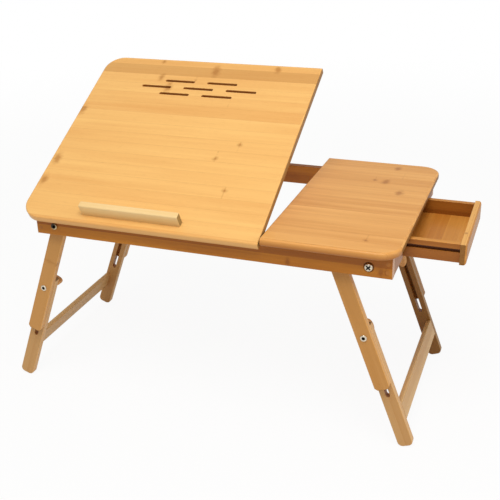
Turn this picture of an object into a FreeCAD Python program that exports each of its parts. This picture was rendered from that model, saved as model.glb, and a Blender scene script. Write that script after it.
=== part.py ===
"""Folding bamboo laptop stand: a tilting top and a fixed top on a frame with a side drawer and four legs.

Millimetres. While the pieces are made, X runs from the left end of the tops to the right, Y from their
front edge to the back, and Z is 0 on the upper face of the fixed top. Every piece is moved at the end
so that the origin lies on the floor under the middle of the stand. The stand is made as it is used:
left top raised, drawer part-way out, legs spread and fully extended.
"""
import FreeCAD, Part
import math
import os

Vec = FreeCAD.Vector
X_DIR, Y_DIR, Z_DIR = Vec(1, 0, 0), Vec(0, 1, 0), Vec(0, 0, 1)

# ---- Overall sizes ----
stand_width = 550.0            # both tops together, along X
stand_depth = 350.0            # tops, along Y
stand_height = 312.0           # floor to the fixed top's upper face, legs extended
fixed_top_width = 183.0
top_thickness = 11.0
top_corner_radius = 30.0
top_edge_round = 3.5           # routed edge of the fixed top
panel_edge_round = 2.5         # upper edge of the tilting top
panel_under_round = 1.0        # its lower edge
top_gap = 1.5                  # between the two tops
closing_gap = 0.2              # between the lowered tilting top and the rails

# ---- Frame ----
board_thickness = 12.0         # rails, end boards, divider and guides
rail_height = 30.0
rail_setback = 14.0            # rail face behind the front edge of the tops
frame_left = 17.0              # left end of the rails from the left end of the tops
frame_right = 9.0              # right end of the rails from the right end of the tops
board_edge_round = 1.0
divider_gap = 3.4              # folded knob to the divider and the deep part of the racks
dowel_radius = 3.0
dowel_length = 24.0

# ---- Drawer ----
drawer_near_face = 84.0        # front end of the drawer's front board, from the front edge of the tops
drawer_far_setback = 100.0     # its back end from the back edge of the tops
drawer_depth = 162.0           # along X, front board included
drawer_front_height = 29.0
drawer_front_thickness = 9.0
drawer_front_round = 4.0       # its outer edges
drawer_side_height = 27.0
drawer_side_thickness = 8.0
drawer_side_inset = 4.0        # side face behind the end of the front board
drawer_top_gap = 1.0           # front board below the tops
drawer_side_drop = 1.0         # side top below the front board's top
drawer_open = 74.0             # how far the drawer is out
drawer_bottom_thickness = 3.0
drawer_bottom_lift = 3.0       # bottom panel above the sides' lower edge
drawer_panel_tongue = 3.0      # bottom panel's depth in its grooves
drawer_opening_gap = 1.0       # front board to the end boards
runner_height = 4.0
runner_reach = 5.0             # runner out of its guide
groove_height = 5.0
groove_depth = 4.0
groove_drop = 7.5              # groove's upper edge below the side's top
guide_gap = 2.0                # guide face to drawer side

# ---- Legs ----
leg_width = 22.0
leg_thickness = 11.0
leg_splay = 20.5               # degrees from upright
leg_pivot_drop = 27.0          # pivot axis below the fixed top's upper face
right_pivot_from_end = 89.0    # from the right end of the tops
upper_leg_reach = 203.0        # pivot to the lower end of an upper leg
clamp_reach = 121.0            # pivot to clamp bolt
leg_travel = 98.0              # how far a lower leg slides up
slot_land = 8.8                # wood above the slot in a lower leg
slot_play = 0.2
upper_leg_chamfer = 4.0
foot_round = 7.0
foot_flat_depth = 0.6          # how much the floor face takes off the rounded foot
leg_edge_round = 1.2
leg_side_gap = 2.0             # rail to upper leg, filled by a washer
leg_layer_gap = 0.3            # upper leg to lower leg, and lower leg to knob
crossbar_from_foot = 50.0      # middle of the crossbar from the end of the lower leg
crossbar_height = 26.0
crossbar_thickness = 8.0
tenon_length = 7.0
tenon_shoulder = 3.0           # crossbar above and below its tenon
stop_gap = 0.5                 # spread leg to the board or block it leans on
stop_block_width = 24.0        # along Y

# ---- Metal ----
pivot_bolt_radius = 3.0
pivot_head_radius = 4.8
pivot_head_height = 2.4
pivot_running_gap = 0.05
nut_radius = 6.0
nut_height = 5.0
washer_radius = 8.0
insert_radius = 4.5
insert_depth = 9.0
clamp_bolt_radius = 3.0
clamp_head_radius = 4.8
clamp_head_height = 1.7
knob_length = 26.0             # oval knobs
knob_width = 15.0
knob_thickness = 12.0
knob_turns = {"left_front": 75.0, "left_back": 25.0, "right_front": 8.0, "right_back": 0.0}   # degrees
knob_edge_round = 2.5
knob_bore_end = 3.0            # wood left beyond the bolt's end
block_screw_radius = 2.5
block_screw_head_radius = 5.7
block_screw_head_height = 3.2  # out of the rail's face
block_screw_recess_radius = 7.1
block_screw_recess_depth = 3.0
block_screw_length = 34.0
block_screw_inset = 40.0       # from the right end of the tops
cross_recess = 1.8
socket_radius = 2.7            # to the corners of the bolts' hex sockets
socket_depth = 3.6

# ---- Hinges of the tilting top ----
tilt_angle = 28.25             # degrees, as it stands
knuckle_radius = 2.0
hinge_pin_radius = 1.0
hinge_length = 40.0
hinge_leaf_thickness = 0.9
hinge_leaf_depth = 11.0        # leaf from knuckle centre to its far edge
hinge_inset_left = 75.0        # middle of a hinge from the left end of the tops
hinge_inset_right = 75.0       # middle of a hinge from the right side of the tilting top
hinge_screw_radius = 1.4
hinge_screw_length = 7.0

# ---- Prop under the tilting top ----
prop_length = 102.0            # prop's pivot to its foot bar
prop_foot_setback = 25.0       # foot bar from the back end of a rack's deep part, when lowered
foot_bar_drop = 17.1           # foot bar below the fixed top's upper face, as it stands
prop_pivot_drop = 5.5          # pivot below the tilting top
prop_arm_width = 12.0
prop_arm_thickness = 9.0
prop_half_width = 58.0         # middle of the tilting top to the middle of an arm
prop_bar_radius = 3.0
prop_bar_overhang = 16.0
prop_pin_radius = 2.0
prop_pin_gap = 0.05
bracket_width = 12.0
bracket_length = 24.0
bracket_height = 11.0
bracket_gap = 1.0              # bracket to arm
cross_rail_reach = 52.0        # prop's pivot to the near edge of its cross rail
cross_rail_width = 20.0
rack_width = 12.0
rack_height = 18.0             # deep part, between the folded legs
rack_drop = 0.5                # rack top below the rail top
rack_leg_gap = 0.5             # rack's thin ends above the folded legs
rack_housing = 4.0             # thin ends let into the rails
rack_notch_steps = (-16.25, -8.25, 0.0, 4.75, 8.75)   # degrees of tilt at each notch from as it stands
rack_clearance = 0.5           # under the path of the foot bar
rack_notch_depth = 1.5
rack_hollow_margin = 6.0       # hollow beyond the foot bar's path at each end

# ---- Air slots and stop ledge of the tilting top ----
slot_length = 50.5
slot_width = 5.0
slot_offset = -2.0             # middle of the slots from the middle of the top
slot_pitch = 71.5
slot_row_pitch = 14.7
slot_back_row = 50.5           # rear row from the back edge
slot_rows = (2, 3, 2)          # slots in each row, from the back
ledge_length = 152.0
ledge_thickness = 10.0
ledge_height = 19.5
ledge_setback = 13.0           # ledge face behind the front edge
ledge_left = 98.5              # ledge's left end from the left end of the top
ledge_round = 2.0
peg_radius = 4.0
peg_depth = 7.0
peg_inset = 25.0
peg_gap = 0.06

# ---- Places worked out from the sizes ----
tilting_top_width = stand_width - fixed_top_width - top_gap
fixed_top_x = stand_width - fixed_top_width
frame_x0, frame_x1 = frame_left, stand_width - frame_right
rail_top = -top_thickness
rail_bottom = rail_top - rail_height
rail_inner = rail_setback + board_thickness
upper_leg_y = rail_inner + leg_side_gap
lower_leg_y = upper_leg_y + leg_thickness + leg_layer_gap
knob_y = lower_leg_y + leg_thickness + leg_layer_gap
right_pivot_x = stand_width - right_pivot_from_end
divider_x = fixed_top_x + 1.0
end_board_x = frame_x1 - board_thickness
hinge_y = rail_setback - knuckle_radius
hinge_z = rail_top
drawer_far_face = stand_depth - drawer_far_setback
guide_front_y = drawer_near_face + drawer_side_inset - guide_gap - board_thickness
guide_back_y = drawer_far_face - drawer_side_inset + guide_gap
divider_y = knob_y + knob_thickness + divider_gap
half_leg = leg_width / 2
splay = math.radians(leg_splay)
stop_reach = (-rail_bottom - leg_pivot_drop) * math.tan(splay) + half_leg / math.cos(splay) + stop_gap
left_pivot_x = frame_x0 + board_thickness + stop_reach
block_x0 = right_pivot_x + stop_reach


def box(x0, x1, y0, y1, z0, z1):
    """Box between two corners."""
    return Part.makeBox(x1 - x0, y1 - y0, z1 - z0, Vec(x0, y0, z0))


def rod(radius, start, direction, length):
    """Cylinder from a start point along a direction."""
    return Part.makeCylinder(radius, length, start, direction)


def is_along(edge, direction):
    """True for a straight edge that runs along the direction."""
    if not isinstance(edge.Curve, Part.Line):
        return False
    return abs(edge.tangentAt(edge.FirstParameter).dot(direction)) > 0.999


def round_edges(shape, radius, chosen):
    """Fillet the edges for which chosen(edge) is true."""
    edges = [edge for edge in shape.Edges if chosen(edge)]
    return shape.makeFillet(radius, edges)


def eased(shape, direction, radius=board_edge_round):
    """Board with its long edges, those along the direction, eased."""
    return round_edges(shape, radius, lambda edge: is_along(edge, direction))


def mirrored_back(shape):
    """The same piece at the back of the stand."""
    return shape.mirror(Vec(0, stand_depth / 2, 0), Y_DIR)


def front_and_back(shape):
    """Group of the front piece and its mirror image at the back."""
    return Part.makeCompound([shape, mirrored_back(shape)])


# ---- The tilting top's own turns ----
def raised(shape):
    """Turn a piece of the tilting top from lowered to its raised place."""
    turned = shape.copy()
    turned.rotate(Vec(0, hinge_y, hinge_z), X_DIR, tilt_angle)
    return turned


prop_foot_y = stand_depth - divider_y - prop_foot_setback
prop_pivot_y = prop_foot_y - prop_length
prop_pivot_z = hinge_z - prop_pivot_drop


def prop_pivot_place(tilt_degrees):
    """Y and Z of the prop's pivot when the top is tilted."""
    tilt = math.radians(tilt_degrees)
    reach = prop_pivot_y - hinge_y
    return (hinge_y + reach * math.cos(tilt) + prop_pivot_drop * math.sin(tilt),
            hinge_z + reach * math.sin(tilt) - prop_pivot_drop * math.cos(tilt))


# Degrees between the tilting top and the prop, so that the foot bar lies at its level as it stands.
prop_open_angle = tilt_angle + math.degrees(
    math.asin((prop_pivot_place(tilt_angle)[1] + foot_bar_drop) / prop_length))


def foot_bar_place(tilt_degrees):
    """Y and Z of the prop's foot bar when the top is tilted and the prop follows it."""
    swing = math.radians(tilt_degrees * (prop_open_angle / tilt_angle - 1))
    pivot_y, pivot_z = prop_pivot_place(tilt_degrees)
    return pivot_y + prop_length * math.cos(swing), pivot_z - prop_length * math.sin(swing)


def propped(shape):
    """Swing a piece of the prop out from the tilting top, then raise it with the top."""
    swung = shape.copy()
    swung.rotate(Vec(0, prop_pivot_y, prop_pivot_z), X_DIR, -prop_open_angle)
    return raised(swung)


# ---- Legs are made hanging straight down from a pivot at X = 0, Z = 0, then placed ----
def placed_leg(shape, side):
    """Spread a leg piece and put it on its side's pivot: side -1 is left, 1 is right."""
    spread = shape.copy()
    spread.rotate(Vec(0, 0, 0), Y_DIR, -side * leg_splay)
    spread.translate(Vec(left_pivot_x if side < 0 else right_pivot_x, 0, -leg_pivot_drop))
    return spread


# The rounded foot's lowest corner lies foot_flat_depth below the floor, which then cuts it flat.
foot_end = (stand_height - leg_pivot_drop + foot_flat_depth - foot_round
            - (half_leg - foot_round) * math.sin(splay)) / math.cos(splay) + foot_round
slot_half = clamp_bolt_radius + slot_play
lower_leg_top = clamp_reach - slot_half - slot_land
crossbar_middle = foot_end - crossbar_from_foot


def upper_leg(side):
    """Front upper leg board: round at the pivot, corners cut at the lower end."""
    y0, y1 = upper_leg_y, upper_leg_y + leg_thickness
    board = box(-half_leg, half_leg, y0, y1, -upper_leg_reach, 0)
    low_corners = [edge for edge in board.Edges
                   if is_along(edge, Y_DIR) and edge.CenterOfMass.z < -half_leg]
    board = board.makeChamfer(upper_leg_chamfer, low_corners)
    board = board.fuse(rod(half_leg, Vec(0, y0, 0), Y_DIR, leg_thickness)).removeSplitter()
    board = board.cut(rod(pivot_bolt_radius + pivot_running_gap, Vec(0, y0, 0), Y_DIR, leg_thickness))
    board = board.cut(rod(clamp_bolt_radius, Vec(0, y0, -clamp_reach), Y_DIR, leg_thickness))
    board = eased(board, Z_DIR, leg_edge_round)
    return placed_leg(board, side)


def crossbar_band(inset):
    """Z range of the crossbar, or of its tenon when inset by the shoulder."""
    middle = -crossbar_middle
    return middle - crossbar_height / 2 + inset, middle + crossbar_height / 2 - inset


def crossbar_x_range(side, inset=0.0):
    """X range of the crossbar before the leg is spread: it lies flush with the legs' outer edge."""
    outer, inner = side * half_leg, side * (half_leg - crossbar_thickness)
    low, high = min(outer, inner), max(outer, inner)
    return low + inset, high - inset


tenon_inset = 1.5              # crossbar beside its tenon


def tenon(side, y0):
    """Tenon block of the crossbar, from y0 into the lower leg."""
    x0, x1 = crossbar_x_range(side, tenon_inset)
    z0, z1 = crossbar_band(tenon_shoulder)
    return box(x0, x1, y0, y0 + tenon_length, z0, z1)


floor_cutter = box(-stand_width, 2 * stand_width, -stand_depth, 2 * stand_depth,
                   -stand_height - 60.0, -stand_height)


def lower_leg(side):
    """Front lower leg board: long slot for the clamp bolt, mortise for the crossbar, rounded foot."""
    y0, y1 = lower_leg_y, lower_leg_y + leg_thickness
    board = box(-half_leg, half_leg, y0, y1, -foot_end, -lower_leg_top)
    board = round_edges(board, foot_round,
                        lambda edge: is_along(edge, Y_DIR) and edge.CenterOfMass.z < -crossbar_middle)
    board = eased(board, Z_DIR, leg_edge_round)
    slot_low, slot_high = -clamp_reach - leg_travel, -clamp_reach
    slot = box(-slot_half, slot_half, y0, y1, slot_low, slot_high)
    for end in (slot_low, slot_high):
        slot = slot.fuse(rod(slot_half, Vec(0, y0, end), Y_DIR, leg_thickness))
    board = board.cut(slot)
    board = board.cut(tenon(side, y1 - tenon_length))
    return placed_leg(board, side).cut(floor_cutter)


def crossbar(side):
    """Flat bar between the front and back lower legs, with a tenon at each end."""
    inner_face = lower_leg_y + leg_thickness
    x0, x1 = crossbar_x_range(side)
    z0, z1 = crossbar_band(0.0)
    bar = box(x0, x1, inner_face, stand_depth - inner_face, z0, z1)
    bar = eased(bar, Y_DIR, leg_edge_round)
    front_tenon = tenon(side, inner_face - tenon_length)
    bar = bar.fuse([front_tenon, mirrored_back(front_tenon)])
    return placed_leg(bar, side)


def hex_socket(x, y, z):
    """Six-sided driver socket in a head whose outer face is at y."""
    turns = [math.radians(60 * corner + 30) for corner in range(7)]
    outline = Part.makePolygon([Vec(x + socket_radius * math.cos(turn), y, z + socket_radius * math.sin(turn))
                                for turn in turns])
    return Part.Face(outline).extrude(Y_DIR * socket_depth)


def clamp_bolts(side):
    """Low-headed bolts through the upper legs and the slots, one at the front and one at the back."""
    head_y = upper_leg_y - clamp_head_height
    end_y = knob_y + knob_thickness - knob_bore_end
    shank = rod(clamp_bolt_radius, Vec(0, upper_leg_y, -clamp_reach), Y_DIR, end_y - upper_leg_y)
    head = rod(clamp_head_radius, Vec(0, head_y, -clamp_reach), Y_DIR, clamp_head_height)
    head = round_edges(head, clamp_head_height * 0.6, lambda edge: edge.CenterOfMass.y < head_y + 0.1)
    bolt = head.fuse(shank)
    socket = hex_socket(0, head_y, -clamp_reach)
    return placed_leg(front_and_back(bolt.cut(socket)), side)


def knob(side, turn):
    """Oval wooden knob that screws onto a front clamp bolt, left turned by so many degrees from the leg."""
    oval = Part.Wire(Part.Ellipse(Vec(0, 0, 0), knob_length / 2, knob_width / 2).toShape())
    disc = Part.Face(oval).extrude(Z_DIR * knob_thickness)
    disc = round_edges(disc, knob_edge_round,
                       lambda edge: isinstance(edge.Curve, Part.Ellipse))
    disc.rotate(Vec(0, 0, 0), X_DIR, -90)
    disc.rotate(Vec(0, 0, 0), Y_DIR, 90 + turn)
    disc.translate(Vec(0, knob_y, -clamp_reach))
    bore_length = knob_thickness - knob_bore_end
    bore = rod(clamp_bolt_radius + pivot_running_gap, Vec(0, knob_y, -clamp_reach), Y_DIR, bore_length + 0.2)
    return placed_leg(disc.cut(bore), side)


# ---- Tops ----
def fixed_top():
    """Right-hand top: right corners round, outer edges routed, left edge square."""
    board = box(fixed_top_x, stand_width, 0, stand_depth, -top_thickness, 0)
    board = round_edges(board, top_corner_radius,
                        lambda edge: is_along(edge, Z_DIR) and edge.CenterOfMass.x > stand_width - 1)
    return round_edges(board, top_edge_round,
                       lambda edge: not is_along(edge, Z_DIR) and edge.CenterOfMass.x > fixed_top_x + 1)


def air_slots():
    """Rows of long round-ended slots near the back edge of the tilting top."""
    slots = []
    middle = tilting_top_width / 2 + slot_offset
    straight = slot_length - slot_width
    for row, count in enumerate(slot_rows):
        y = stand_depth - slot_back_row - row * slot_row_pitch
        for place in range(count):
            x = middle + (place - (count - 1) / 2) * slot_pitch - straight / 2
            slot = box(x, x + straight, y - slot_width / 2, y + slot_width / 2, -top_thickness, 0)
            for end in (x, x + straight):
                slot = slot.fuse(rod(slot_width / 2, Vec(end, y, -top_thickness), Z_DIR, top_thickness))
            slots.append(slot)
    return slots


hinge_middles = (hinge_inset_left, tilting_top_width - hinge_inset_right)
ledge_peg_places = (ledge_left + peg_inset, ledge_left + ledge_length - peg_inset)
ledge_peg_y = ledge_setback + ledge_thickness / 2
panel_underside = -top_thickness + closing_gap
leaf_recess = hinge_leaf_thickness + 0.1
leaf_far_edge = hinge_y + hinge_leaf_depth
knuckle_pocket = knuckle_radius + 0.4


def tilting_top():
    """Left-hand top with air slots, hinge recesses and two peg holes, made lowered and then raised."""
    board = box(0, tilting_top_width, 0, stand_depth, panel_underside, 0)
    board = round_edges(board, top_corner_radius,
                        lambda edge: is_along(edge, Z_DIR) and edge.CenterOfMass.x < 1)
    board = round_edges(board, panel_edge_round, lambda edge: edge.CenterOfMass.z > -0.1)
    board = round_edges(board, panel_under_round, lambda edge: edge.CenterOfMass.z < panel_underside + 0.1)
    cuts = air_slots()
    for x in hinge_middles:
        x0, x1 = x - hinge_length / 2, x + hinge_length / 2
        cuts.append(box(x0, x1, hinge_y, leaf_far_edge, panel_underside, panel_underside + leaf_recess))
        cuts.append(rod(knuckle_pocket, Vec(x0 - 1, hinge_y, hinge_z), X_DIR, hinge_length + 2))
        for screw_x in hinge_screw_places(x):
            cuts.append(rod(hinge_screw_radius, Vec(screw_x, hinge_screw_y, panel_underside), Z_DIR,
                            hinge_screw_length))
    for x in ledge_peg_places:
        cuts.append(rod(peg_radius + peg_gap, Vec(x, ledge_peg_y, -peg_depth - 0.5), Z_DIR, peg_depth + 1))
    for x0, x1 in bracket_ranges():
        for y in bracket_screw_places:
            cuts.append(rod(hinge_screw_radius, Vec((x0 + x1) / 2, y, panel_underside), Z_DIR,
                            bracket_screw_grip))
    return raised(board.cut(cuts))


# ---- Hinges ----
hinge_screw_y = (hinge_y + knuckle_radius + leaf_far_edge) / 2


def hinge_screw_places(middle):
    """X of the two screws of one hinge leaf."""
    return middle - hinge_length / 4, middle + hinge_length / 4


def knuckle(x0, x1, pin_gap):
    """One barrel section of a hinge, bored for the pin."""
    barrel = rod(knuckle_radius, Vec(x0, hinge_y, hinge_z), X_DIR, x1 - x0)
    bore = rod(hinge_pin_radius + pin_gap, Vec(x0, hinge_y, hinge_z), X_DIR, x1 - x0)
    return barrel.cut(bore)


knuckle_gap = 0.2


def hinge_leaf(middle, on_frame):
    """One leaf: the frame's leaf grips the pin in the middle, the top's leaf turns on it at both ends."""
    x0, x1 = middle - hinge_length / 2, middle + hinge_length / 2
    third = hinge_length / 3
    spans = [(x0 + third + knuckle_gap, x1 - third - knuckle_gap)] if on_frame else \
        [(x0, x0 + third), (x1 - third, x1)]
    z1 = rail_top if on_frame else panel_underside + hinge_leaf_thickness
    z0 = z1 - hinge_leaf_thickness
    plate = box(x0, x1, hinge_y + knuckle_radius + knuckle_gap, leaf_far_edge, z0, z1)
    for a, b in spans:
        bridge = box(a, b, hinge_y + hinge_pin_radius + 0.5, hinge_y + knuckle_radius + 1, z0, z1)
        plate = plate.fuse([bridge, knuckle(a, b, 0.0 if on_frame else pivot_running_gap)])
    for screw_x in hinge_screw_places(middle):
        plate = plate.cut(rod(hinge_screw_radius, Vec(screw_x, hinge_screw_y, z0 - 1), Z_DIR, 4))
    return plate


def hinge_screws(on_frame):
    """Screws of one side of both hinges, heads flush in the leaves."""
    start = rail_top if on_frame else panel_underside
    direction = Vec(0, 0, -1) if on_frame else Z_DIR
    return Part.makeCompound([rod(hinge_screw_radius, Vec(x, hinge_screw_y, start), direction,
                                  hinge_screw_length)
                              for middle in hinge_middles for x in hinge_screw_places(middle)])


# ---- Frame boards ----
pivot_line = -leg_pivot_drop
block_screw_x = stand_width - block_screw_inset


def frame_dowel_places():
    """Start points of the front dowels that hold the rails to the boards between them."""
    half = dowel_length / 2
    middles = ((frame_x0 + end_board_x_left) / 2, end_board_x + board_thickness / 2)
    heights = (rail_top - rail_height * 0.3, rail_top - rail_height * 0.7)
    return [Vec(x, rail_inner - half, z) for x in middles for z in heights]


end_board_x_left = frame_x0 + board_thickness


def frame_dowels():
    """Wooden dowels across the rail joints, front and back."""
    return front_and_back(Part.makeCompound([rod(dowel_radius, start, Y_DIR, dowel_length)
                                             for start in frame_dowel_places()]))


def front_rail():
    """Front rail with holes for bolts, inserts, screws and dowels, and housings for the racks."""
    rail = box(frame_x0, frame_x1, rail_setback, rail_inner, rail_bottom, rail_top)
    rail = eased(rail, X_DIR)
    insert_start = rail_inner - insert_depth
    cuts = [rod(pivot_bolt_radius, Vec(left_pivot_x, rail_setback, pivot_line), Y_DIR, board_thickness),
            rod(insert_radius, Vec(right_pivot_x, insert_start, pivot_line), Y_DIR, insert_depth),
            rod(block_screw_radius, Vec(block_screw_x, rail_setback, pivot_line), Y_DIR, board_thickness),
            rod(block_screw_recess_radius, Vec(block_screw_x, rail_setback, pivot_line), Y_DIR,
                block_screw_recess_depth)]
    cuts += [rod(dowel_radius, start, Y_DIR, dowel_length) for start in frame_dowel_places()]
    cuts += [rack_ends(x0, rail_top) for x0 in (rack_left_x, rack_right_x)]
    return rail.cut(cuts)


def hinged_front_rail():
    """Front rail with recesses for the frame leaves of the hinges."""
    rail = front_rail()
    cuts = []
    for x in hinge_middles:
        cuts.append(box(x - hinge_length / 2, x + hinge_length / 2, rail_setback - 1, leaf_far_edge,
                        rail_top - hinge_leaf_thickness, rail_top))
        for screw_x in hinge_screw_places(x):
            cuts.append(rod(hinge_screw_radius, Vec(screw_x, hinge_screw_y, rail_top - hinge_screw_length),
                            Z_DIR, hinge_screw_length))
    return rail.cut(cuts)


def end_board(x0, y0, y1):
    """Short-grain board along Y between the rails or beside the drawer."""
    board = box(x0, x0 + board_thickness, y0, y1, rail_bottom, rail_top)
    board = eased(board, Y_DIR)
    dowels = [rod(dowel_radius, start, Y_DIR, dowel_length) for start in frame_dowel_places()]
    holes = dowels + [mirrored_back(dowel) for dowel in dowels]
    return board.cut(holes)


opening_front = drawer_near_face - drawer_opening_gap
opening_back = drawer_far_face + drawer_opening_gap


def drawer_guide(y0):
    """Board beside the drawer that carries a runner."""
    guide = box(divider_x + board_thickness, end_board_x, y0, y0 + board_thickness, rail_bottom, rail_top)
    return eased(guide, X_DIR)


drawer_x1 = stand_width + drawer_open
drawer_x0 = drawer_x1 - drawer_depth
drawer_top = rail_top - drawer_top_gap
drawer_front_bottom = drawer_top - drawer_front_height
side_top = drawer_top - drawer_side_drop
side_bottom = side_top - drawer_side_height
side_y0 = drawer_near_face + drawer_side_inset
side_y1 = drawer_far_face - drawer_side_inset
groove_top = side_top - groove_drop
runner_middle = groove_top - groove_height / 2


def drawer_runners():
    """Two strips that carry the drawer by the grooves in its sides."""
    x0, x1 = divider_x + board_thickness, end_board_x
    z0, z1 = runner_middle - runner_height / 2, runner_middle + runner_height / 2
    front_face, back_face = guide_front_y + board_thickness, guide_back_y
    return Part.makeCompound([box(x0, x1, front_face, front_face + runner_reach, z0, z1),
                              box(x0, x1, back_face - runner_reach, back_face, z0, z1)])


def drawer_bottom_panel():
    """Thin bottom panel held in grooves all round."""
    tongue = drawer_panel_tongue
    z0 = side_bottom + drawer_bottom_lift
    return box(drawer_x0 + drawer_side_thickness - tongue, drawer_x1 - drawer_front_thickness + tongue,
               side_y0 + drawer_side_thickness - tongue, side_y1 - drawer_side_thickness + tongue,
               z0, z0 + drawer_bottom_thickness)


def drawer_front():
    """Front board of the drawer."""
    board = box(drawer_x1 - drawer_front_thickness, drawer_x1, drawer_near_face,
                drawer_far_face, drawer_front_bottom, drawer_top)
    board = round_edges(board, drawer_front_round, lambda edge: edge.CenterOfMass.x > drawer_x1 - 1)
    return board.cut(drawer_bottom_panel())


def drawer_side(y0, outer_y):
    """Side board with a runner groove on its outer face; outer_y is that face."""
    inner_end = drawer_x1 - drawer_front_thickness
    board = box(drawer_x0, inner_end, y0, y0 + drawer_side_thickness, side_bottom, side_top)
    board = eased(board, X_DIR, 0.8)
    low, high = outer_y - groove_depth, outer_y + groove_depth
    groove = box(drawer_x0, inner_end, low, high, groove_top - groove_height, groove_top)
    return board.cut([groove, drawer_bottom_panel()])


def drawer_back():
    """Back board between the sides."""
    board = box(drawer_x0, drawer_x0 + drawer_side_thickness, side_y0 + drawer_side_thickness,
                side_y1 - drawer_side_thickness, side_bottom, side_top)
    return board.cut(drawer_bottom_panel())


# ---- Stop blocks, bolts and screws of the frame ----
def stop_block():
    """Front block that a spread right leg leans on."""
    block = box(block_x0, end_board_x, rail_inner, rail_inner + stop_block_width, rail_bottom, rail_top)
    hole_depth = block_screw_length - board_thickness
    return block.cut(rod(block_screw_radius, Vec(block_screw_x, rail_inner, pivot_line), Y_DIR, hole_depth))


def cross_slot(x, y, z, radius, depth):
    """Cross-shaped driver recess in a head whose outer face is at y."""
    arm, half = radius * 0.65, radius * 0.2
    cross = box(x - arm, x + arm, y, y + depth, z - half, z + half).fuse(
        box(x - half, x + half, y, y + depth, z - arm, z + arm))
    cross.rotate(Vec(x, y, z), Y_DIR, 45)
    return cross


def block_screws():
    """Domed cross-head screws, seated in recesses of the rails, that hold the stop blocks."""
    head_y = rail_setback - block_screw_head_height
    head = rod(block_screw_head_radius, Vec(block_screw_x, head_y, pivot_line), Y_DIR,
               block_screw_head_height + block_screw_recess_depth)
    head = round_edges(head, block_screw_head_height * 0.75, lambda edge: edge.CenterOfMass.y < head_y + 0.1)
    screw = head.fuse(rod(block_screw_radius, Vec(block_screw_x, rail_setback, pivot_line), Y_DIR,
                          block_screw_length))
    screw = screw.cut(cross_slot(block_screw_x, head_y, pivot_line, block_screw_head_radius, cross_recess))
    return front_and_back(screw)


def left_pivot_bolts():
    """Socket-head bolts on which the left legs turn."""
    head_y = rail_setback - pivot_head_height
    head = rod(pivot_head_radius, Vec(left_pivot_x, head_y, pivot_line), Y_DIR, pivot_head_height)
    head = round_edges(head, 0.8, lambda edge: edge.CenterOfMass.y < head_y + 0.1)
    end_y = upper_leg_y + leg_thickness + nut_height - 1
    shank = rod(pivot_bolt_radius, Vec(left_pivot_x, rail_setback, pivot_line), Y_DIR, end_y - rail_setback)
    socket = hex_socket(left_pivot_x, head_y, pivot_line)
    return front_and_back(head.fuse(shank).cut(socket))


def left_pivot_nuts():
    """Cap nuts on the inner ends of the left pivot bolts."""
    y0 = upper_leg_y + leg_thickness + 0.1
    nut = rod(nut_radius, Vec(left_pivot_x, y0, pivot_line), Y_DIR, nut_height)
    nut = round_edges(nut, 1.5, lambda edge: edge.CenterOfMass.y > y0 + nut_height - 0.1)
    bolt_end = rod(pivot_bolt_radius, Vec(left_pivot_x, y0, pivot_line), Y_DIR, nut_height - 1.1)
    return front_and_back(nut.cut(bolt_end))


def right_pivot_bolts():
    """Bolts driven from the inside through the right legs into the rails' inserts."""
    y1 = upper_leg_y + leg_thickness + 0.1
    start_y = rail_inner - insert_depth + 1
    shank = rod(pivot_bolt_radius, Vec(right_pivot_x, start_y, pivot_line), Y_DIR, y1 - start_y)
    head = rod(nut_radius, Vec(right_pivot_x, y1, pivot_line), Y_DIR, nut_height - 1)
    head = round_edges(head, 1.5, lambda edge: edge.CenterOfMass.y > y1 + nut_height - 1.1)
    socket = rod(pivot_bolt_radius * 0.8, Vec(right_pivot_x, y1 + 1.5, pivot_line), Y_DIR, nut_height)
    return front_and_back(shank.fuse(head).cut(socket))


def right_pivot_inserts():
    """Threaded inserts in the inner faces of the rails."""
    y0 = rail_inner - insert_depth
    body = rod(insert_radius, Vec(right_pivot_x, y0, pivot_line), Y_DIR, insert_depth)
    bore = rod(pivot_bolt_radius, Vec(right_pivot_x, y0 + 1, pivot_line), Y_DIR, insert_depth)
    return front_and_back(body.cut(bore))


def pivot_washers():
    """Washers between rails and upper legs at all four pivots."""
    washers = []
    for x in (left_pivot_x, right_pivot_x):
        disc = rod(washer_radius, Vec(x, rail_inner, pivot_line), Y_DIR, leg_side_gap - 0.1)
        disc = disc.cut(rod(pivot_bolt_radius, Vec(x, rail_inner, pivot_line), Y_DIR, leg_side_gap))
        washers += [disc, mirrored_back(disc)]
    return Part.makeCompound(washers)


# ---- Prop and racks ----
panel_middle = tilting_top_width / 2
arm_ranges = [(panel_middle + side * prop_half_width - prop_arm_width / 2,
               panel_middle + side * prop_half_width + prop_arm_width / 2) for side in (-1, 1)]
bracket_screw_places = (prop_pivot_y - bracket_length / 4, prop_pivot_y + bracket_length / 4)
bracket_screw_grip = 6.0


def bracket_ranges():
    """X ranges of the brackets, on the inner side of each arm."""
    left, right = arm_ranges
    return ((left[1] + bracket_gap, left[1] + bracket_gap + bracket_width),
            (right[0] - bracket_gap - bracket_width, right[0] - bracket_gap))


def prop_bracket(x0, x1):
    """Block under the tilting top that holds a prop pin."""
    block = box(x0, x1, prop_pivot_y - bracket_length / 2, prop_pivot_y + bracket_length / 2,
                panel_underside - bracket_height, panel_underside)
    block = round_edges(block, 3.0,
                        lambda edge: is_along(edge, X_DIR) and edge.CenterOfMass.z < panel_underside - 1)
    block = block.cut(rod(prop_pin_radius, Vec(x0, prop_pivot_y, prop_pivot_z), X_DIR, x1 - x0))
    return raised(block)


def prop_pins():
    """Steel pins on which the prop swings."""
    left, right = arm_ranges
    length = prop_arm_width + bracket_gap + bracket_width
    pins = [rod(prop_pin_radius, Vec(left[0], prop_pivot_y, prop_pivot_z), X_DIR, length),
            rod(prop_pin_radius, Vec(right[1] - length, prop_pivot_y, prop_pivot_z), X_DIR, length)]
    return raised(Part.makeCompound(pins))


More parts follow.
